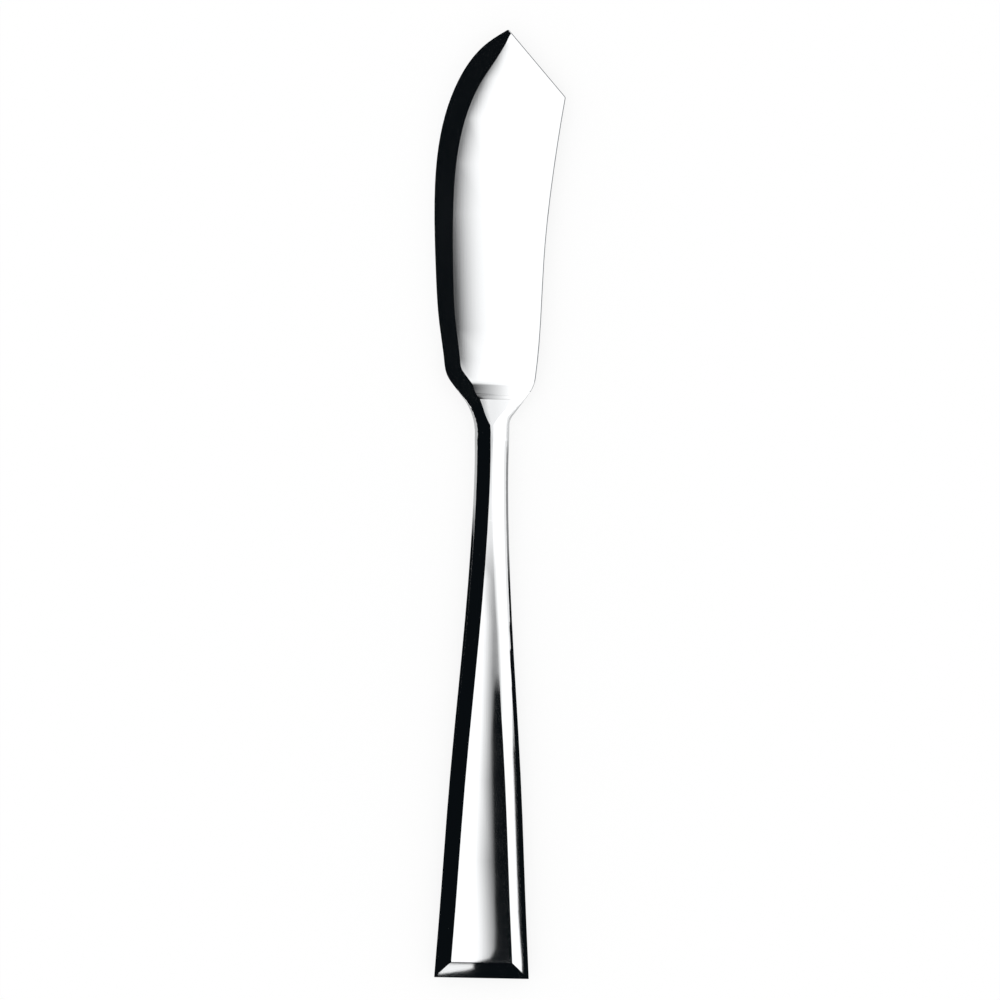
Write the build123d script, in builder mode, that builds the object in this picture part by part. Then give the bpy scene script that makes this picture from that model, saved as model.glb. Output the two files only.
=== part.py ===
from build123d import *
import math
import os

# Fish knife with a hollow handle, lying flat on the back face of its handle, which is at Z = 0.
# The origin is on that face, on the handle's axis and in the middle of its grip. The tip points to +Y and
# the cutting edge faces +X. The knife is the same on both faces, so the blade is made as its front half and
# mirrored.

# Overall sizes, in millimetres
overall_length = 210.0
handle_length = 128.0
bolster_length = 9.0
grip_middle = 60.0

# Handle
butt_width = 20.95
neck_width = 7.6
handle_thickness = 7.0
side_wall_height = 3.1
bevel_width = 3.5
end_bevel_length = 3.6
shell_wall = 0.9
side_round = 1.8
flat_trim = 0.1

# Outline of the blade, with its reaches measured from the handle's axis
spine_reach = 13.7
edge_reach = 14.85
heel_reach = 9.4
tip_offset = 1.9
point_length = 14.8
heel_setback = 4.8
tip_round = 0.5
tip_turn = 4.0
corner_round = 0.5

# Sections of the blade
spine_thickness = 0.6
spine_round = 0.15
crown_thickness = 2.1
crown_reach = 5.4
edge_thickness = 1.0
edge_lift = 0.1
spine_bevel_width = 4.65
spine_bevel_growth = 75.0
tip_bevel_width = 1.0
tip_bevel_length = 14.0
distal_length = 30.0
distal_drop = 0.25

# Root, bolster, spigot and tang
root_length = 2.8
root_rise = 0.7
tongue_length = 5.7
spine_neck_length = 1.3
edge_neck_length = 3.4
change_start = 2.8
change_length = 8.3
side_round_end = 12.0
spigot_length = 3.0
spigot_clearance = 0.1
tang_length = 48.0
tang_width = 4.0
tang_end_width = 2.8
tang_thickness = 2.2

# How far a cut runs past what it cuts, how far its round stands out of the metal, and its stations
overrun = 0.8
bite_share = 0.01
station_spacing = 1.25

# Stations along the handle from the butt to the mouth: share of the length, share of the flare that is left
flare_shares = (
    (0.0, 1.0),
    (0.05, 0.944),
    (0.2, 0.787),
    (0.42, 0.547),
    (0.6, 0.296),
    (0.8, 0.067),
    (0.9, 0.0),
    (1.0, 0.0),
)

# Points of the outline: share of the blade's length from the crease, share of the reach on its side
spine_shares = (
    (0.0902, 0.788),
    (0.213, 0.896),
    (0.33, 0.956),
    (0.49, 1.0),
    (0.69, 0.949),
    (0.853, 0.675),
    (0.956, 0.244),
)
shoulder_shares = ((0.002, 0.4745), (0.0455, 0.679))
edge_shares = ((0.189, 0.69), (0.402, 0.734), (0.604, 0.835))
heel_shares = ((-0.0451, 0.468), (0.021, 0.872))

butt_y = -grip_middle
crease_y = butt_y + handle_length
mouth_y = crease_y - bolster_length
tip_y = butt_y + overall_length
distal_y = tip_y - distal_length
half_thickness = handle_thickness / 2
half_neck = neck_width / 2
side_half = side_wall_height / 2
bevel_rise = half_thickness - side_half
bevel_slope = bevel_rise / bevel_width
face_slope = (crown_thickness - edge_thickness) / 2 / (crown_reach + edge_reach)
axis_face = crown_thickness / 2 - crown_reach * face_slope
crease_height = axis_face + root_rise
tongue_slope = (half_thickness - crease_height) / tongue_length
mid_plane = Plane.XY.offset(half_thickness)
os.makedirs("parts", exist_ok=True)


def mix(start, end, share):
    """Value between two others."""
    return start + (end - start) * share


def ease(distance, length):
    """Share of a change made over a length, which starts and ends gently."""
    share = min(max(distance / length, 0), 1)
    return share * share * (3 - 2 * share)


def across(y):
    """Plane square to the handle's axis, with the knife's mid-plane through its centre."""
    return Plane(origin=(0, y, half_thickness), x_dir=(1, 0, 0), z_dir=(0, -1, 0))


def blade_point(shares, reach):
    """Point of the outline from its share of the blade's length and its share of a reach."""
    return reach * shares[1], mix(crease_y, tip_y, shares[0])


def face_height(place):
    """Height of the blade's face over the mid-plane, which falls to the cutting edge and to the tip."""
    past = max(place.Y - distal_y, 0) / distal_length
    return axis_face - place.X * face_slope - distal_drop * past**2


def handle_section(width, shrink, extra=0):
    """Eight-sided section of the handle: flat faces, bevels and side walls, drawn in by a wall of sheet.

    With extra height the bevels run on past the flat faces, which are then cut level.
    """
    flat = width / 2 - bevel_width
    side = width / 2 - shrink
    top = half_thickness - shrink
    low = top - (side - flat) * bevel_slope
    upper = (flat - extra / bevel_slope, top + extra)
    corners = (upper, (side, low), (side, -low), (upper[0], -upper[1]))
    with BuildSketch(mode=Mode.PRIVATE) as section:
        with BuildLine():
            Polyline(*corners, *((-x, z) for x, z in reversed(corners)), close=True)
        make_face()
    return section.sketch


def handle_form(shrink):
    """The whole handle as a closed form with mitred end bevels, drawn in by a wall of sheet."""
    with BuildPart() as form:
        for place, flare in flare_shares:
            with BuildSketch(across(mix(butt_y, mouth_y, place))):
                add(handle_section(mix(neck_width, butt_width, flare), shrink, flat_trim))
        loft()
        split(bisect_by=across(butt_y + shrink), keep=Keep.BOTTOM)
        for face in (1, -1):
            flat_place = (0, 0, half_thickness + face * (half_thickness - shrink))
            split(bisect_by=Plane(flat_place, x_dir=(1, 0, 0), z_dir=(0, 0, face)), keep=Keep.BOTTOM)
            foot = (0, butt_y, half_thickness + face * (side_half - shrink))
            end_bevel = Plane(foot, x_dir=(1, 0, 0), z_dir=(0, -bevel_rise, face * end_bevel_length))
            split(bisect_by=end_bevel, keep=Keep.BOTTOM)
    return form.part


def stations_along(path, inward_turn, section, end):
    """Stations square to the outline, each with its place, the way inwards and the bevel's section there."""
    count = round((end + overrun) / station_spacing)
    stations = []
    for number in range(count + 1):
        distance = (end + overrun) * number / count - overrun
        share = min(max(distance / path.length, 0), 1)
        heading = path % share
        foot = path @ share + heading * (distance - share * path.length)
        inward = heading.rotate(Axis.Z, inward_turn)
        stations.append((foot + Vector(0, 0, half_thickness), inward, section(distance, foot, inward)))
    return stations


def bevel_cutter(path, inward_turn, section, end):
    """Cutter over the bevel: straight from rail to rail across it, and raised from there."""
    outer, inner = [], []
    for foot, inward, (low, slope, width, radius) in stations_along(path, inward_turn, section, end):
        outer.append(foot - inward * overrun + Vector(0, 0, low - overrun * slope))
        inner.append(foot + inward * (width + overrun) + Vector(0, 0, low + (width + overrun) * slope))
    shares = [number / (len(outer) - 1) for number in range(len(outer))]
    rails = [Edge.make_spline(points, parameters=shares) for points in (outer, inner)]
    return Solid.extrude(Face.make_surface_from_curves(*rails), Vector(0, 0, handle_thickness))


def round_cutter(path, inward_turn, section, end):
    """Cutter that rounds the corner between the side wall and the bevel."""
    with BuildPart() as cutter:
        for foot, inward, (low, slope, width, radius) in stations_along(path, inward_turn, section, end):
            inside = radius * (1 - bite_share)
            centre = (inside, low + inside * (slope - math.hypot(slope, 1)))
            with BuildSketch(Plane(origin=foot, x_dir=inward, z_dir=inward.cross(Vector(0, 0, 1)))):
                with BuildLine():
                    corner_arc = CenterArc(centre, radius, 180, math.degrees(math.atan(slope)) - 90)
                    Polyline(
                        corner_arc @ 1,
                        corner_arc @ 1 + Vector(0, overrun),
                        (-overrun, (corner_arc @ 1).Y + overrun),
                        (-overrun, centre[1]),
                        corner_arc @ 0,
                    )
                make_face()
        loft()
    return cutter.part


def spine_section(distance, foot, inward):
    """Bevel along the spine: the handle's own bevel at the mouth, and a wide flat bevel on the blade."""
    change = ease(distance - change_start, change_length)
    growth = ease(distance - change_start - change_length, spine_bevel_growth)
    to_tip = min(max((spine_length - distance) / tip_bevel_length, 0), 1)
    width = mix(tip_bevel_width, mix(bevel_width, spine_bevel_width, growth), 1 - (1 - to_tip) ** 3)
    low = mix(side_half, spine_thickness / 2, change)
    ridge = mix(half_thickness, face_height(foot + inward * width), change)
    return low, (ridge - low) / width, width, mix(side_round, spine_round, change)


def edge_section(distance, foot, inward):
    """Bevel on the cutting edge's side: the handle's own bevel at the mouth, gone before the heel."""
    change = ease(distance - change_start, change_length)
    low = mix(side_half, face_height(foot) + edge_lift, change)
    ridge = mix(half_thickness, face_height(foot + inward * bevel_width) + edge_lift, change)
    return low, (ridge - low) / bevel_width, bevel_width, mix(side_round, spine_round, change)


# Outline of the blade and bolster, seen from the front
spine_points = [blade_point(shares, -spine_reach) for shares in spine_shares]
tip = Vector(tip_offset, tip_y)
corner = Vector(edge_reach, tip_y - point_length)
heel = Vector(heel_reach, crease_y + heel_setback)
with BuildLine() as spine_side:
    neck = Line((-half_neck, mouth_y), (-half_neck, mouth_y + spine_neck_length))
    waist = TangentArc(neck @ 1, blade_point(shoulder_shares[0], -spine_reach), tangent=neck % 1)
    shoulder = Line(waist @ 1, blade_point(shoulder_shares[1], -spine_reach))
    turn = TangentArc(shoulder @ 1, spine_points[0], tangent=shoulder % 1)
    last_lean = (tip - Vector(*spine_points[-1])).rotate(Axis.Z, -tip_turn)
    spine = Spline(*spine_points, tip, tangents=(turn % 1, last_lean))
with BuildLine() as heel_side:
    neck = Line((half_neck, mouth_y), (half_neck, mouth_y + edge_neck_length))
    waist = TangentArc(neck @ 1, blade_point(heel_shares[0], heel_reach), tangent=neck % 1)
    shoulder = Line(waist @ 1, blade_point(heel_shares[1], heel_reach))
    turn = TangentArc(shoulder @ 1, heel, tangent=shoulder % 1)
with BuildSketch() as outline:
    with BuildLine():
        add(spine_side.line)
        add(heel_side.line)
        Spline(heel, *(blade_point(shares, edge_reach) for shares in edge_shares), corner)
        Line(corner, tip)
        Line(spine_side.line @ 0, heel_side.line @ 0)
    make_face()
    fillet(outline.vertices().sort_by(Axis.Y)[-1], tip_round)
    fillet(outline.vertices().sort_by(Axis.X)[-1], corner_round)
spine_path = spine_side.wires()[0]
heel_path = heel_side.wires()[0]
spine_length = spine_path.length

# The blade: its front half is a plate of that outline, cut to the tongue, root and face, and to the bevels
with BuildPart() as blade:
    with BuildSketch(mid_plane):
        add(outline.sketch)
    extrude(amount=half_thickness)
    with BuildSketch(Plane(origin=(0, 0, half_thickness), x_dir=(0, 1, 0), z_dir=(1, 0, -face_slope))):
        with BuildLine():
            top = half_thickness + overrun
            root_end = Vector(crease_y + root_length, axis_face)
            root = TangentArc(root_end, (crease_y, crease_height), tangent=(-1, 0))
            Line(root_end, (distal_y, axis_face))
            distal = TangentArc((distal_y, axis_face), (tip_y, axis_face - distal_drop), tangent=(1, 0))
            Polyline(
                distal @ 1,
                distal @ 1 + Vector(overrun, 0),
                (tip_y + overrun, top),
                (crease_y - (top - crease_height) / tongue_slope, top),
                root @ 1,
            )
        make_face()
    extrude(amount=spine_reach + edge_reach, both=True, mode=Mode.SUBTRACT)
    add(bevel_cutter(spine_path, -90, spine_section, spine_length + overrun), mode=Mode.SUBTRACT)
    add(round_cutter(spine_path, -90, spine_section, side_round_end), mode=Mode.SUBTRACT)
    add(bevel_cutter(heel_path, 90, edge_section, heel_path.length), mode=Mode.SUBTRACT)
    add(round_cutter(heel_path, 90, edge_section, side_round_end), mode=Mode.SUBTRACT)
    mirror(about=mid_plane)
    with BuildSketch(across(mouth_y)):
        add(handle_section(neck_width, shell_wall + spigot_clearance))
    extrude(amount=spigot_length)
    with BuildSketch(mid_plane):
        with BuildLine():
            tang_corners = (
                (tang_width / 2, mouth_y - spigot_length),
                (tang_end_width / 2, mouth_y - spigot_length - tang_length),
            )
            Polyline(*tang_corners, *((-x, y) for x, y in reversed(tang_corners)), close=True)
        make_face()
    extrude(amount=tang_thickness / 2, both=True)
blade.part.label = "blade"

# The handle's shells: one closed form with rounded sides, hollowed and cut apart in the mid-plane
with BuildPart() as handle:
    add(handle_form(0))
    long_edges = handle.edges().filter_by(lambda edge: edge.length > grip_middle)
    fillet(long_edges.sort_by(lambda edge: abs((edge @ 0.5).Z - half_thickness))[:4], side_round)
    add(handle_form(shell_wall), mode=Mode.SUBTRACT)
    with BuildSketch(across(mouth_y)):
        add(handle_section(neck_width, shell_wall))
    extrude(amount=shell_wall + overrun, mode=Mode.SUBTRACT)
with BuildPart() as handle_front_shell:
    add(handle.part)
    split(bisect_by=mid_plane, keep=Keep.TOP)
handle_front_shell.part.label = "handle_front_shell"
with BuildPart() as handle_back_shell:
    add(handle.part)
    split(bisect_by=mid_plane, keep=Keep.BOTTOM)
handle_back_shell.part.label = "handle_back_shell"

# The cement that fills the handle behind the spigot and holds the tang
with BuildPart() as handle_filling:
    add(handle_form(shell_wall))
    split(bisect_by=across(mouth_y - spigot_length), keep=Keep.TOP)
    add(blade.part, mode=Mode.SUBTRACT)
handle_filling.part.label = "handle_filling"

export_step(blade.part, "parts/blade.step")
export_step(handle_front_shell.part, "parts/handle_front_shell.step")
export_step(handle_back_shell.part, "parts/handle_back_shell.step")
export_step(handle_filling.part, "parts/handle_filling.step")
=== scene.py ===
"""Fish knife of polished steel, laid flat and seen from straight above."""

from __future__ import annotations

import logging
import math
from dataclasses import dataclass
from enum import Enum
from typing import Any, ClassVar

import bpy
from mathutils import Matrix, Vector
from mathutils.kdtree import KDTree

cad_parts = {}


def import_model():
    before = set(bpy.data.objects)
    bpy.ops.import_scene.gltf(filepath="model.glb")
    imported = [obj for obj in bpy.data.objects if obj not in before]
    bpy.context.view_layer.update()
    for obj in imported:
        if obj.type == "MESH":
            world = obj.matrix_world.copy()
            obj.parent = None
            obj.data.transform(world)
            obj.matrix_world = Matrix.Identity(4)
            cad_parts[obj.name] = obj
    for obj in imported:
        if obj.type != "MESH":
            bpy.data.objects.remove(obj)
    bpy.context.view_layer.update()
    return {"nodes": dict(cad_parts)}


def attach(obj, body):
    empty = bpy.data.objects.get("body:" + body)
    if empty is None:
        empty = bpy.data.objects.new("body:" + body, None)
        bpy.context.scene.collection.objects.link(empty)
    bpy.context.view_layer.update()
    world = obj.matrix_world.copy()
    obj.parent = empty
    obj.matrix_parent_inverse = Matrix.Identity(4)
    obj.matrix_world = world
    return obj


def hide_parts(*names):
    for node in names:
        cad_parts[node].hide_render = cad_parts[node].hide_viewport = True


LOG = logging.getLogger("fish_knife")
MM = 0.001
IMAGE_PX = 1000

# The sRGB curve: straight up to the knee, a power above it.
SRGB_KNEE = 0.04045
SRGB_SLOPE = 12.92
SRGB_OFFSET = 0.055
SRGB_POWER = 2.4

# The studio's cloths, how bright a lamp makes the white one, and a card turned to face sideways.
BLACK = "#0b0f12"
WHITE = "#ffffff"
SOFT_BOX = 1.3
SIDEWAYS = (0.0, 90.0, 0.0)

Sides = tuple[float, float, float, float]
Row = tuple[float, float, float, float, float, float]


def linear(hex_colour: str) -> tuple[float, float, float, float]:
    """Turn an sRGB hex colour into a linear colour.

    Args:
        hex_colour: The colour as "#rrggbb".

    Returns:
        Red, green, blue and an alpha of one.
    """
    channels = [int(hex_colour[i : i + 2], 16) / 255 for i in (1, 3, 5)]
    red, green, blue = (
        c / SRGB_SLOPE if c <= SRGB_KNEE else ((c + SRGB_OFFSET) / (1 + SRGB_OFFSET)) ** SRGB_POWER
        for c in channels
    )
    return red, green, blue, 1.0


def add_node(
    material: bpy.types.Material | bpy.types.World,
    kind: str,
    settings: dict[str, Any] | None = None,
    links: dict[Any, bpy.types.NodeSocket] | None = None,
) -> bpy.types.Node:
    """Add a shader node with its settings and links.

    Args:
        material: The material or world whose tree gets the node.
        kind: The node's type name.
        settings: Properties by name, or input values by socket name or number.
        links: Output sockets by the input's name or number.

    Returns:
        The new node.
    """
    tree = material.node_tree
    node = tree.nodes.new(kind)
    for key, value in (settings or {}).items():
        if isinstance(key, str) and hasattr(node, key):
            setattr(node, key, value)
        else:
            node.inputs[key].default_value = value
    for key, source in (links or {}).items():
        tree.links.new(source, node.inputs[key])
    return node


def new_material(name: str) -> bpy.types.Material:
    """Make an empty material with a node tree.

    Args:
        name: The material's name.

    Returns:
        The material.
    """
    material = bpy.data.materials.new(name)
    material.use_nodes = True
    material.node_tree.nodes.clear()
    return material


def deselect_all() -> None:
    """Leave object mode clean: nothing selected and nothing active."""
    if bpy.context.object is not None and bpy.context.object.mode != "OBJECT":
        bpy.ops.object.mode_set(mode="OBJECT")
    bpy.ops.object.select_all(action="DESELECT")
    bpy.context.view_layer.objects.active = None


@dataclass(frozen=True)
class PolishedSteel:
    """18/10 stainless steel, buffed to a mirror on a cloth wheel.

    The wheel leaves hair-fine lines along the knife, and handling leaves soft smears. To the eye,
    reflections stay sharp without being perfect, as in real polished metal.
    """

    name: str
    colour: str = "#e7e8e9"
    roughness: float = 0.03
    smear_roughness: float = 0.045
    smear_mm: float = 16.0
    smear_detail: float = 3.0
    smear_grain: float = 0.55
    smear_span: tuple[float, float] = (0.45, 0.75)
    line_mm: float = 0.25
    line_length_mm: float = 14.0
    line_detail: float = 2.0
    line_depth: float = 0.0008

    def build(self) -> bpy.types.Material:
        """Make the material.

        Returns:
            The finished material.
        """
        material = new_material(self.name)
        place = add_node(material, "ShaderNodeTexCoord").outputs["Object"]
        smear = add_node(
            material,
            "ShaderNodeTexNoise",
            {
                "Scale": 1 / (self.smear_mm * MM),
                "Detail": self.smear_detail,
                "Roughness": self.smear_grain,
            },
            {"Vector": place},
        )
        ramp = add_node(
            material,
            "ShaderNodeMapRange",
            {
                "From Min": self.smear_span[0],
                "From Max": self.smear_span[1],
                "To Min": self.roughness,
                "To Max": self.smear_roughness,
            },
            {"Value": smear.outputs["Fac"]},
        )
        stretch = (1 / (self.line_mm * MM), 1 / (self.line_length_mm * MM), 1 / (self.line_mm * MM))
        along = add_node(material, "ShaderNodeMapping", {"Scale": stretch}, {"Vector": place})
        lines = add_node(
            material,
            "ShaderNodeTexNoise",
            {"Scale": 1.0, "Detail": self.line_detail},
            {"Vector": along.outputs["Vector"]},
        )
        bump = add_node(
            material,
            "ShaderNodeBump",
            {"Strength": self.line_depth, "Distance": self.line_mm * MM},
            {"Height": lines.outputs["Fac"]},
        )
        surface = add_node(
            material,
            "ShaderNodeBsdfPrincipled",
            {"Base Color": linear(self.colour), "Metallic": 1.0},
            {"Roughness": ramp.outputs["Result"], "Normal": bump.outputs["Normal"]},
        )
        add_node(material, "ShaderNodeOutputMaterial", links={"Surface": surface.outputs["BSDF"]})
        return material


@dataclass(frozen=True)
class HandleCement:
    """Set plaster-and-resin cement, poured.

    It sets matt, chalky and slightly grainy, so the eye reads it as a filling and not as metal.
    """

    name: str
    colour: str = "#b8b0a0"
    dark_colour: str = "#9a9284"
    grain_mm: float = 0.8
    grain_detail: float = 4.0
    grain_depth_mm: float = 0.2
    grain_strength: float = 0.3
    roughness: float = 0.9

    def build(self) -> bpy.types.Material:
        """Make the material.

        Returns:
            The finished material.
        """
        material = new_material(self.name)
        place = add_node(material, "ShaderNodeTexCoord").outputs["Object"]
        grain = add_node(
            material,
            "ShaderNodeTexNoise",
            {"Scale": 1 / (self.grain_mm * MM), "Detail": self.grain_detail},
            {"Vector": place},
        )
        tone = add_node(
            material,
            "ShaderNodeMix",
            {"data_type": "RGBA", 6: linear(self.dark_colour), 7: linear(self.colour)},
            {0: grain.outputs["Fac"]},
        )
        bump = add_node(
            material,
            "ShaderNodeBump",
            {"Strength": self.grain_strength, "Distance": self.grain_depth_mm * MM},
            {"Height": grain.outputs["Fac"]},
        )
        surface = add_node(
            material,
            "ShaderNodeBsdfPrincipled",
            {"Roughness": self.roughness},
            {"Base Color": tone.outputs[2], "Normal": bump.outputs["Normal"]},
        )
        add_node(material, "ShaderNodeOutputMaterial", links={"Surface": surface.outputs["BSDF"]})
        return material


class Facet(Enum):
    """Flats of the knife in which the camera sees the studio.

    Each has its fall to the right, its fall to the butt and its height above the floor, which is
    in millimetres.
    """

    HANDLE_FLAT = (0.0, 0.0, 7.0)
    RIGHT_BEVEL = (0.557, 0.0, 6.0)
    BUTT_BEVEL = (0.0, 0.541, 6.0)
    BLADE_FACE = (0.0272, 0.0, 4.4)
    TONGUE = (0.0272, -0.333, 6.0)

    def mirrored(self, x: float, y: float, height: float) -> Vector:
        """Find what the camera sees mirrored at a point of the flat.

        Args:
            x: Place across the knife, in millimetres.
            y: Place along the knife, in millimetres.
            height: Height above the floor at which the mirrored sight line is cut.

        Returns:
            The point where the mirrored sight line has that height, in millimetres.
        """
        right, butt, level = self.value
        upright = Vector((right, -butt, 1)).normalized()
        spot = Vector((x, y, level))
        sight = (spot - OverheadCamera.place()).normalized()
        bounce = sight - 2 * sight.dot(upright) * upright
        return spot + bounce * (height - level) / bounce.z


def glow(
    name: str, colour: str, strength: float, falloff: float | None = None
) -> bpy.types.Material:
    """Make the even light of a white card, or the even dark of a black one.

    Args:
        name: The material's name.
        colour: The card's colour as "#rrggbb".
        strength: Brightness at which one shows the colour as written.
        falloff: Power of the fade along the card's "cover" attribute, or None for a whole card.

    Returns:
        The material.
    """
    material = new_material(name)
    light = add_node(
        material, "ShaderNodeEmission", {"Color": linear(colour), "Strength": strength}
    )
    result = light.outputs["Emission"]
    if falloff is not None:
        cover = add_node(material, "ShaderNodeAttribute", {"attribute_name": "cover"})
        fade = add_node(
            material,
            "ShaderNodeMath",
            {"operation": "POWER", 1: falloff},
            {0: cover.outputs["Fac"]},
        )
        clear = add_node(material, "ShaderNodeBsdfTransparent")
        result = add_node(
            material,
            "ShaderNodeMixShader",
            links={0: fade.outputs["Value"], 1: clear.outputs["BSDF"], 2: result},
        ).outputs["Shader"]
    add_node(material, "ShaderNodeOutputMaterial", links={"Surface": result})
    return material


def hang(card: bpy.types.Object, material: bpy.types.Material) -> None:
    """Hang a card so that only the polished metal shows it.

    Args:
        card: The card's object.
        material: The card's light or dark.
    """
    card.name = material.name
    card.data.materials.append(material)
    card.visible_camera = False
    card.visible_diffuse = False
    card.visible_transmission = False
    card.visible_volume_scatter = False
    card.visible_shadow = False
    LOG.info("card %s", card.name)


@dataclass(frozen=True)
class Wall:
    """Large even card, black unless it says otherwise, in millimetres and degrees."""

    name: str
    centre: tuple[float, float, float]
    size: tuple[float, float]
    colour: str = BLACK
    strength: float = 1.0
    turn: tuple[float, float, float] = (0.0, 0.0, 0.0)

    def build(self) -> None:
        """Stand or hang the card."""
        deselect_all()
        bpy.ops.mesh.primitive_plane_add(
            size=MM,
            location=[v * MM for v in self.centre],
            rotation=[math.radians(v) for v in self.turn],
        )
        card = bpy.context.object
        card.scale = (*self.size, 1)
        hang(card, glow(self.name, self.colour, self.strength))


@dataclass(frozen=True)
class Flag:
    """Small shaped card with soft sides, hung where one flat of the knife mirrors it to the camera.

    A row is a place along the knife, then the start and end of the soft left side and of the soft
    right side across it, then how much the card covers there. Without a facet, the places are the
    card's own. A card that stands across the knife has rows that start with their height. Places
    are in millimetres.
    """

    SOFT_SIDES: ClassVar[tuple[int, ...]] = (0, 1, 1, 0)

    name: str
    facet: Facet | None
    rows: tuple[Row, ...]
    colour: str = BLACK
    strength: float = 1.0
    falloff: float = 1.0
    height: float = 300.0
    stand: float | None = None

    def build(self) -> None:
        """Hang the card."""
        deselect_all()
        bpy.ops.mesh.primitive_grid_add(
            x_subdivisions=len(self.SOFT_SIDES) - 1, y_subdivisions=len(self.rows) - 1
        )
        card = bpy.context.object
        points = [
            (self.place(across, along) * MM, inside * covered)
            for along, *sides, covered in self.rows
            for across, inside in zip(sides, self.SOFT_SIDES)
        ]
        cover = card.data.attributes.new("cover", "FLOAT", "POINT")
        for vertex, (place, value) in zip(card.data.vertices, points):
            vertex.co = place
            cover.data[vertex.index].value = value
        hang(card, glow(self.name, self.colour, self.strength, self.falloff))

    def place(self, x: float, y: float) -> Vector:
        """Place of a point of the card, in millimetres.

        Args:
            x: Place across the knife.
            y: Place along the knife, or the height on a standing card.

        Returns:
            The place in the studio.
        """
        if self.stand is not None:
            return Vector((x, self.stand, y))
        if self.facet is None:
            return Vector((x, y, self.height))
        return self.facet.mirrored(x, y, self.height)


def straight(sides: Sides, *ends: tuple[float, float]) -> tuple[Row, ...]:
    """Make the rows of a card whose sides run straight along the knife.

    Args:
        sides: Start and end of the soft left side and of the soft right side.
        ends: Place along the knife and cover, for each row.

    Returns:
        The rows.
    """
    return tuple((along, *sides, covered) for along, covered in ends)


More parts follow.
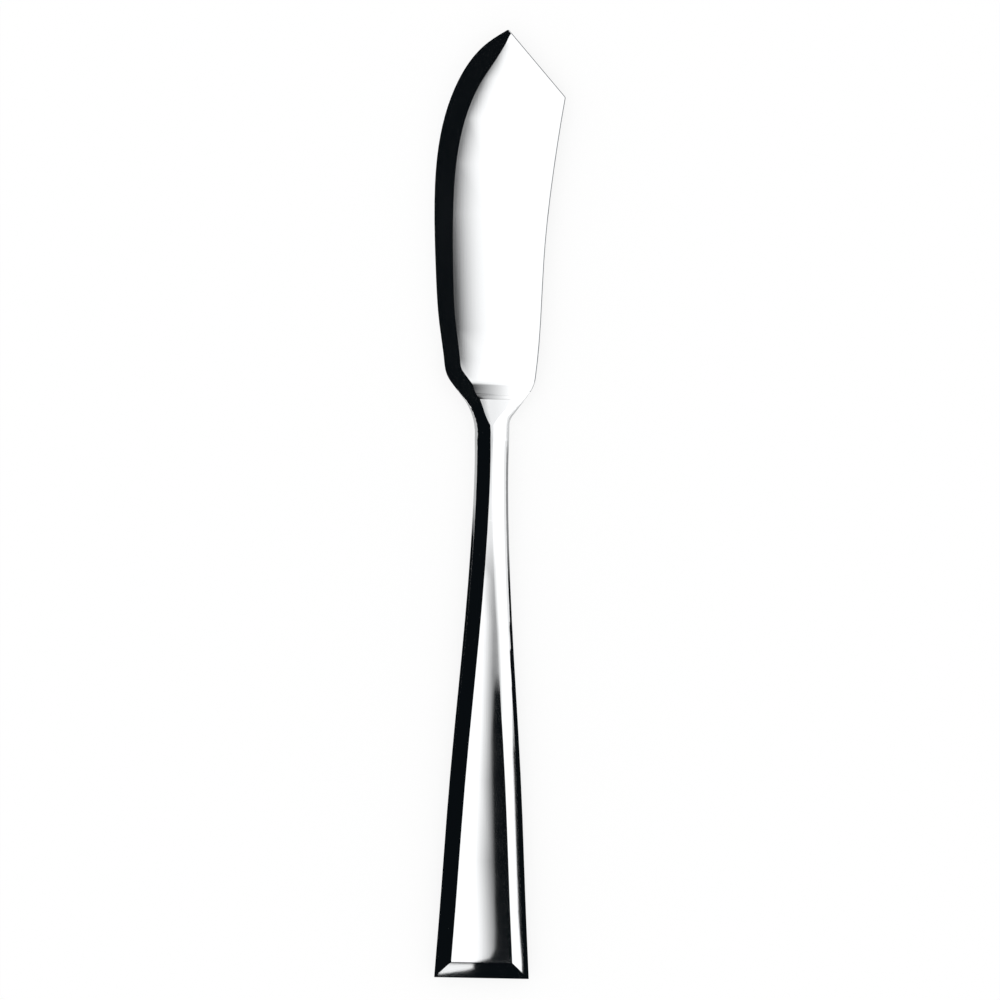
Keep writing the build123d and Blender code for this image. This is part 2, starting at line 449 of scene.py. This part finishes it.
@dataclass
class Studio:
    """White studio: floor, even light all round, and the cards that the metal reflects.

    The floor's size is in metres, and shadow_share is the part of the knife's shadow that is kept.
    """

    floor_size: float = 4.0
    floor_colour: str = WHITE
    shadow_share: float = 0.18
    sky_colour: str = WHITE

    def build(self) -> None:
        """Build the floor, the sky and the cards."""
        self.add_floor()
        self.add_sky()
        for card in (*self.walls(), *self.flags()):
            card.build()

    def add_floor(self) -> None:
        """Lay the floor.

        To the eye it is matt white paper, with just enough shadow for the knife to rest on it.
        """
        deselect_all()
        bpy.ops.mesh.primitive_plane_add(size=self.floor_size)
        floor = bpy.context.object
        floor.name = "floor"
        material = new_material("matt_white_paper")
        paper = add_node(material, "ShaderNodeBsdfDiffuse", {"Color": linear(self.floor_colour)})
        white = add_node(
            material, "ShaderNodeEmission", {"Color": linear(self.floor_colour), "Strength": 1.0}
        )
        share = add_node(
            material,
            "ShaderNodeMath",
            {"operation": "MULTIPLY", 1: 1 - self.shadow_share},
            {0: self.seen_directly(material)},
        )
        mixed = add_node(
            material,
            "ShaderNodeMixShader",
            links={
                0: share.outputs["Value"],
                1: paper.outputs["BSDF"],
                2: white.outputs["Emission"],
            },
        )
        add_node(material, "ShaderNodeOutputMaterial", links={"Surface": mixed.outputs["Shader"]})
        floor.data.materials.append(material)

    @staticmethod
    def seen_directly(material: bpy.types.Material) -> bpy.types.NodeSocket:
        """One for rays from the camera, a mirror or a glass, and zero for the rest.

        Args:
            material: The material that gets the nodes.

        Returns:
            The output socket.
        """
        path = add_node(material, "ShaderNodeLightPath")
        result = path.outputs["Is Camera Ray"]
        for ray in ("Is Glossy Ray", "Is Transmission Ray"):
            result = add_node(
                material,
                "ShaderNodeMath",
                {"operation": "MAXIMUM"},
                {0: result, 1: path.outputs[ray]},
            ).outputs["Value"]
        return result

    def add_sky(self) -> None:
        """Light the scene evenly from all round."""
        world = bpy.data.worlds.new("white_studio")
        world.use_nodes = True
        world.node_tree.nodes.clear()
        light = add_node(
            world, "ShaderNodeBackground", {"Color": linear(self.sky_colour), "Strength": 1.0}
        )
        add_node(world, "ShaderNodeOutputWorld", links={"Surface": light.outputs["Background"]})
        bpy.context.scene.world = world

    @staticmethod
    def walls() -> list[Wall]:
        """The large cards: soft boxes overhead and to the right, and dark ones on all sides.

        Returns:
            The cards.
        """
        return [
            Wall("soft_box_overhead", (0, 46, 1300), (3000, 3000), WHITE, SOFT_BOX),
            Wall("soft_box_right", (1200, 0, 1200), (1400, 1600), WHITE, SOFT_BOX, SIDEWAYS),
            Wall("black_wall_left", (-726, 20, 500), (1295, 620)),
            Wall("black_wall_left_low", (-1373, 20, 250), (500, 620), turn=SIDEWAYS),
            Wall("black_wall_tip", (-135, 430, 500), (292, 420)),
            Wall("black_wall_front", (0, -900, 500), (300, 400)),
            Wall("black_strip_handle", (45, -38, 14), (28, 76), turn=SIDEWAYS),
            Wall("black_strip_waist_high", (45, 3.5, 12.5), (25, 7), turn=SIDEWAYS),
            Wall("black_strip_waist", (45, 11, 8.5), (17, 8), turn=SIDEWAYS),
            Wall("black_strip_waist_low", (45, 18, 4.5), (9, 6), turn=SIDEWAYS),
            Wall("grey_strip_blade", (45, 153, 12), (24, 174), "#8a8d90", turn=SIDEWAYS),
        ]

    @staticmethod
    def flags() -> list[Flag]:
        """The small cards, each for one reflection.

        Returns:
            The cards.
        """
        return [
            Flag(
                "cloth_left",
                None,
                straight(
                    (-1375.0, -1374.0, 0.0, 5.0),
                    *((-76.0, 1.0), (38.0, 1.0), (45.0, 0.42)),
                    *((64.0, 0.42), (68.0, 1.0), (80.0, 1.0)),
                ),
                height=0.1,
            ),
            Flag(
                "cloth_right",
                None,
                straight(
                    (-5.0, 0.0, 45.0, 45.5),
                    *((-76.0, 1.0), (28.0, 1.0), (36.0, 0.72), (56.0, 0.67)),
                    *((59.0, 0.3), (63.0, 0.24), (67.0, 0.7), (240.0, 0.7)),
                ),
                height=0.1,
            ),
            Flag(
                "flag_blade_face",
                Facet.BLADE_FACE,
                (
                    (151.0, -1.0, 0.0, 1.1, 2.7, 0.7),
                    (147.0, -3.0, -2.0, -0.5, 1.9, 0.85),
                    (141.8, -6.0, -5.0, -3.4, 0.2, 0.92),
                    (131.5, -9.0, -8.0, -6.8, -3.0, 0.88),
                    (120.0, -11.0, -10.0, -8.9, -2.8, 0.92),
                    (109.0, -12.0, -11.0, -9.5, -1.8, 0.95),
                    (83.4, -12.0, -11.0, -8.0, 0.0, 0.97),
                    (76.8, -11.0, -10.0, -7.0, -1.5, 0.88),
                    (72.8, -9.0, -8.0, -5.2, -2.1, 0.5),
                    (71.2, -9.0, -8.0, -5.0, -2.1, 0.0),
                ),
                falloff=2.0,
                height=150.0,
            ),
            Flag(
                "flag_root",
                None,
                straight(
                    (-12.0, -11.0, -4.1, 4.0),
                    *((72.3, 0.0), (71.8, 0.15), (71.2, 0.92), (70.5, 0.92), (70.2, 0.0)),
                ),
                height=7.6,
            ),
            Flag(
                "flag_root_corner",
                None,
                (
                    (165.0, -36.0, -20.0, 4.4, 5.6, 0.0),
                    (147.0, -36.0, -20.0, 4.6, 5.8, 1.0),
                    (112.0, -36.0, -20.0, 3.9, 4.9, 1.0),
                    (60.0, -36.0, -20.0, 2.6, 3.6, 1.0),
                    (36.0, -36.0, -20.0, 2.4, 3.4, 0.0),
                ),
                stand=185.0,
            ),
            Flag(
                "flag_tongue",
                Facet.TONGUE,
                straight((-6.0, -5.0, 0.5, 4.8), (69.0, 0.18), (60.5, 0.18)),
                height=160.0,
            ),
            Flag(
                "flag_tongue_side",
                Facet.TONGUE,
                (
                    (68.6, -6.0, -5.0, -2.1, -1.1, 0.45),
                    (66.5, -6.0, -5.0, -1.9, -0.9, 0.45),
                    (64.5, -6.0, -5.0, -1.3, -0.7, 0.45),
                    (61.5, -6.0, -5.0, -0.8, -0.2, 0.45),
                ),
                height=160.0,
            ),
            Flag(
                "flag_neck",
                Facet.HANDLE_FLAT,
                (
                    (63.5, -4.0, -3.0, -0.9, 1.8, 0.35),
                    (59.0, -4.0, -3.0, -0.7, 1.3, 0.6),
                    (52.4, -4.0, -3.0, -0.4, 0.9, 0.35),
                    (45.7, -4.0, -3.0, -0.1, 0.8, 0.2),
                    (41.3, -4.0, -3.0, 0.1, 1.1, 0.21),
                ),
                height=120.0,
            ),
            Flag(
                "flag_handle_grey",
                Facet.HANDLE_FLAT,
                (
                    (41.2, -4.0, -3.0, 0.1, 1.1, 0.21),
                    (36.9, -3.0, 0.0, 0.6, 1.7, 0.25),
                    (28.0, -1.4, 0.8, 1.2, 2.3, 0.6),
                    (19.1, -0.8, 1.2, 1.8, 2.9, 0.72),
                    (1.3, -1.1, 1.3, 2.8, 3.6, 0.8),
                    (-16.4, -1.5, 1.3, 3.6, 4.6, 0.82),
                    (-34.1, -1.9, 1.9, 5.4, 6.3, 0.84),
                    (-49.6, -1.0, 2.5, 6.5, 7.2, 0.72),
                    (-56.0, -0.9, 2.8, 6.6, 7.3, 0.72),
                ),
                height=120.0,
            ),
            Flag(
                "flag_handle_black",
                Facet.HANDLE_FLAT,
                (
                    (7.5, 1.8, 2.1, 2.6, 3.1, 0.0),
                    (5.8, 1.5, 1.9, 2.8, 3.4, 0.55),
                    (3.0, 1.2, 1.7, 3.4, 4.2, 1.0),
                    (-7.5, 1.0, 1.5, 6.0, 7.0, 1.0),
                    (-16.4, 1.3, 1.8, 7.7, 8.1, 1.0),
                    (-49.6, 2.6, 3.1, 8.3, 8.8, 1.0),
                    (-53.6, 2.5, 3.1, 8.4, 8.9, 1.0),
                    (-55.4, 1.6, 2.1, 8.5, 9.0, 1.0),
                    (-56.4, -1.8, -0.8, 8.5, 9.0, 1.0),
                    (-57.4, -1.8, -0.8, 8.5, 9.0, 1.0),
                ),
                height=100.0,
            ),
            Flag(
                "flag_bevel_grey",
                Facet.RIGHT_BEVEL,
                (
                    (40.0, -3.0, -2.0, -0.9, 0.0, 0.0),
                    (32.4, -3.0, -2.0, -0.4, 0.6, 0.3),
                    (19.1, -3.0, -2.0, 0.4, 1.6, 0.66),
                    (10.2, -3.0, -2.0, 0.9, 2.1, 0.72),
                    (0.0, -3.0, -2.0, 1.6, 2.6, 0.0),
                ),
                height=30.0,
            ),
            Flag(
                "flag_right_bevel",
                Facet.RIGHT_BEVEL,
                (
                    (8.0, 6.2, 6.4, 12.0, 13.0, 0.0),
                    (-7.5, 6.1, 6.3, 12.0, 13.0, 1.0),
                    (-25.3, 6.85, 7.05, 13.0, 14.0, 1.0),
                    (-43.0, 7.8, 8.0, 14.0, 15.0, 1.0),
                    (-53.9, 9.0, 9.2, 14.0, 15.0, 1.0),
                    (-59.5, 10.3, 10.5, 14.0, 15.0, 1.0),
                ),
                height=30.0,
            ),
            Flag(
                "card_butt_light",
                Facet.BUTT_BEVEL,
                (
                    (-55.8, -8.8, -8.4, -2.0, -1.7, 1.0),
                    (-57.5, -9.0, -8.6, -2.0, -1.7, 1.0),
                    (-58.5, -9.3, -8.9, -3.8, -3.2, 1.0),
                    (-59.4, -9.6, -9.2, -6.6, -6.2, 1.0),
                    (-60.2, -10.0, -9.6, -9.2, -8.8, 1.0),
                ),
                colour=WHITE,
                strength=1.15,
                height=60.0,
            ),
        ]


@dataclass
class OverheadCamera:
    """Camera straight above the knife, with a long lens.

    Lengths are in millimetres, the roll is in degrees, and sight_m is how many metres deep it sees.
    pixel_mm is what one pixel of the picture measures on the knife.
    """

    distance: float = 1500.0
    pixel_mm: float = 0.2219
    aim: tuple[float, float] = (2.04, 45.8)
    roll: float = 1.12
    sensor: float = 36.0
    sight_m: float = 10.0

    @classmethod
    def place(cls) -> Vector:
        """The camera's place in millimetres.

        Returns:
            The place.
        """
        return Vector((*cls.aim, cls.distance))

    def build(self) -> None:
        """Hang the camera and make it the scene's own."""
        camera_data = bpy.data.cameras.new("overhead_camera")
        camera_data.sensor_width = self.sensor
        camera_data.lens = self.sensor * self.distance / (self.pixel_mm * IMAGE_PX)
        camera_data.clip_end = self.sight_m
        camera = bpy.data.objects.new("overhead_camera", camera_data)
        bpy.context.scene.collection.objects.link(camera)
        camera.location = self.place() * MM
        camera.rotation_euler = (0, 0, math.radians(self.roll))
        bpy.context.scene.camera = camera


@dataclass
class Blade:
    """The forged blade, with the rim of its cutting edge and point rounded by the polishing wheel.

    Lengths are in millimetres and turns in degrees. The rim is each edge sharper than sharp_turn
    that lies beyond rim_start along the knife and beyond rim_side across it, and that rises less
    than rim_rise. Nearer to the handle a rounded rim would grow a spur where it meets the root.
    """

    node: str = "blade"
    slot: str = "blade_steel"
    weld: float = 0.001
    twin_gap: float = 0.002
    sharp_turn: float = 60.0
    shade_turn: float = 12.0
    rim_round: float = 0.3
    rim_steps: int = 4
    rim_start: float = 70.0
    rim_side: float = 2.0
    rim_rise: float = 0.3

    def build(self, nodes: dict[str, bpy.types.Object], steel: bpy.types.Material) -> None:
        """Shape and dress the blade, and let it stand for its solid.

        Args:
            nodes: The frame's nodes by name.
            steel: The blade's finish.
        """
        solid = nodes[self.node]
        piece = self.copy_solid(solid)
        self.round_rim(piece.data)
        bpy.ops.object.shade_smooth_by_angle(angle=math.radians(self.shade_turn))
        self.take_normals(piece.data, solid.data)
        piece.data.materials.clear()
        piece.data.materials.append(steel)
        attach(piece, "root")
        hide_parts(self.node)
        LOG.info("piece %s in %s", piece.name, steel.name)

    @staticmethod
    def copy_solid(solid: bpy.types.Object) -> bpy.types.Object:
        """Copy the solid's mesh into a new piece, which is left active and selected.

        Args:
            solid: The frame's node.

        Returns:
            The new piece.
        """
        deselect_all()
        piece = bpy.data.objects.new("forged_blade", solid.data.copy())
        bpy.context.scene.collection.objects.link(piece)
        bpy.context.view_layer.objects.active = piece
        piece.select_set(True)
        return piece

    def round_rim(self, mesh: bpy.types.Mesh) -> None:
        """Close the mesh's seams and round its rim.

        Args:
            mesh: The mesh of the active piece.
        """
        bpy.ops.object.mode_set(mode="EDIT")
        bpy.ops.mesh.select_mode(type="EDGE")
        bpy.ops.mesh.select_all(action="SELECT")
        bpy.ops.mesh.remove_doubles(threshold=self.weld * MM)
        bpy.ops.mesh.select_all(action="DESELECT")
        bpy.ops.mesh.edges_select_sharp(sharpness=math.radians(self.sharp_turn))
        self.keep_rim(mesh)
        bpy.ops.mesh.bevel(
            offset=self.rim_round * MM,
            segments=self.rim_steps,
            clamp_overlap=False,
            loop_slide=False,
        )
        bpy.ops.object.mode_set(mode="OBJECT")

    def take_normals(self, mesh: bpy.types.Mesh, solid: bpy.types.Mesh) -> None:
        """Give each face the normals of the solid's same face.

        A mirror shows the slightest slip of a normal. The faces of the rounded rim, which the
        solid doesn't have, keep their own.

        Args:
            mesh: The blade's mesh.
            solid: The mesh of the frame's node.
        """
        centres = KDTree(len(solid.polygons))
        for face in solid.polygons:
            centres.insert(face.center, face.index)
        centres.balance()
        normals = [Vector()] * len(mesh.loops)
        for face in mesh.polygons:
            _, number, gap = centres.find(face.center)
            twin = solid.polygons[number] if gap < self.twin_gap * MM else None
            for corner, vertex in zip(face.loop_indices, face.vertices):
                if twin is None:
                    normals[corner] = face.normal.copy()
                else:
                    normals[corner] = self.nearest_normal(solid, twin, mesh.vertices[vertex].co)
        mesh.normals_split_custom_set(normals)

    @staticmethod
    def nearest_normal(
        solid: bpy.types.Mesh, face: bpy.types.MeshPolygon, spot: Vector
    ) -> Vector:
        """Find the normal at the corner of a face that lies nearest to a spot.

        Args:
            solid: The mesh.
            face: The face.
            spot: The spot, in the mesh's units.

        Returns:
            The normal.
        """
        corner, _ = min(
            zip(face.loop_indices, face.vertices),
            key=lambda pair: (solid.vertices[pair[1]].co - spot).length,
        )
        return solid.corner_normals[corner].vector.copy()

    def keep_rim(self, mesh: bpy.types.Mesh) -> None:
        """Of the sharp edges, leave only the rim selected.

        Args:
            mesh: The blade's mesh, in edit mode.
        """
        bpy.ops.object.mode_set(mode="OBJECT")
        for edge in mesh.edges:
            start, end = (mesh.vertices[number].co / MM for number in edge.vertices)
            beyond = min(start.y, end.y) > self.rim_start and min(start.x, end.x) > self.rim_side
            edge.select = edge.select and beyond and abs(start.z - end.z) < self.rim_rise
        for part in (*mesh.vertices, *mesh.polygons):
            part.select = False
        for edge in mesh.edges:
            for number in edge.vertices if edge.select else ():
                mesh.vertices[number].select = True
        bpy.ops.object.mode_set(mode="EDIT")


@dataclass
class Handle:
    """The hollow handle: two shells of sheet and the cement in them."""

    shells: tuple[str, ...] = ("handle_front_shell", "handle_back_shell")
    filling: str = "handle_filling"

    def build(self, nodes: dict[str, bpy.types.Object], steel: bpy.types.Material) -> None:
        """Dress the frame's nodes.

        Args:
            nodes: The frame's nodes by name.
            steel: The shells' finish.
        """
        for name in self.shells:
            self.dress(nodes[name], steel)
        self.dress(nodes[self.filling], HandleCement("poured_handle_cement").build())

    @staticmethod
    def dress(piece: bpy.types.Object, material: bpy.types.Material) -> None:
        """Give all of a piece one material.

        Args:
            piece: The object.
            material: Its material.
        """
        for slot in piece.material_slots:
            slot.material = material
        LOG.info("piece %s in %s", piece.name, material.name)


def main() -> None:
    """Build the scene round the frame."""
    logging.basicConfig(level=logging.INFO, format="%(message)s")
    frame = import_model()
    bpy.context.scene.view_settings.view_transform = "Standard"
    steel = PolishedSteel("mirror_polished_stainless_steel").build()
    Blade().build(frame["nodes"], steel)
    Handle().build(frame["nodes"], steel)
    Studio().build()
    OverheadCamera().build()


if __name__ == "__main__":
    main()
